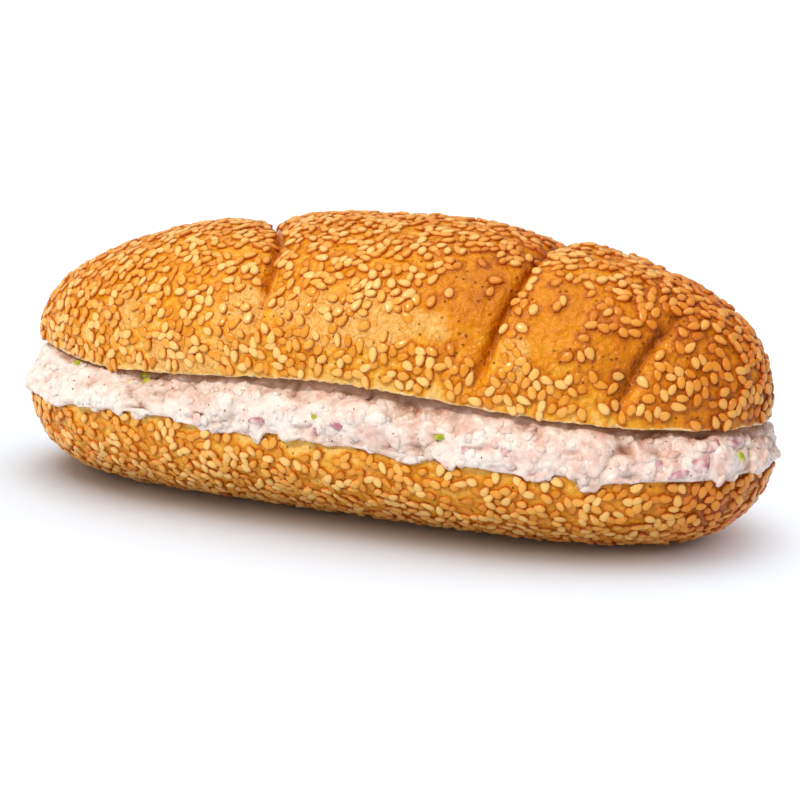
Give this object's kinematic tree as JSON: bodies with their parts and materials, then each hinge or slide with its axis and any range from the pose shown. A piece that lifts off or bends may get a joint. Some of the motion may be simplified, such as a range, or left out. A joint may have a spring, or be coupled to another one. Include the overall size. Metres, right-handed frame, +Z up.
{
  "type": "cottage cheese sandwich",
  "caption": "Long seeded bread roll cut lengthwise and filled with a thick layer of cottage cheese with red onion and spring onion, lying on its flat base.",
  "frame": {"origin": "under the middle of the sandwich's outline, on the surface it stands on", "axes": "+X along the roll to its right tip, -Y out of the open front that shows the filling, +Z up"},
  "size_m": [0.1942, 0.0786, 0.0692],
  "materials": {
    "top_crust": "satin, egg-washed golden crust with sesame seeds",
    "cottage_cheese": "moist, lumpy pinkish-white spread",
    "bottom_crust": "satin, light golden crust with sesame seeds"
  },
  "bodies": {
    "root": {"top_roll": "top_crust", "filling": "cottage_cheese", "bottom_roll": "bottom_crust"}
  },
  "joints": []
}
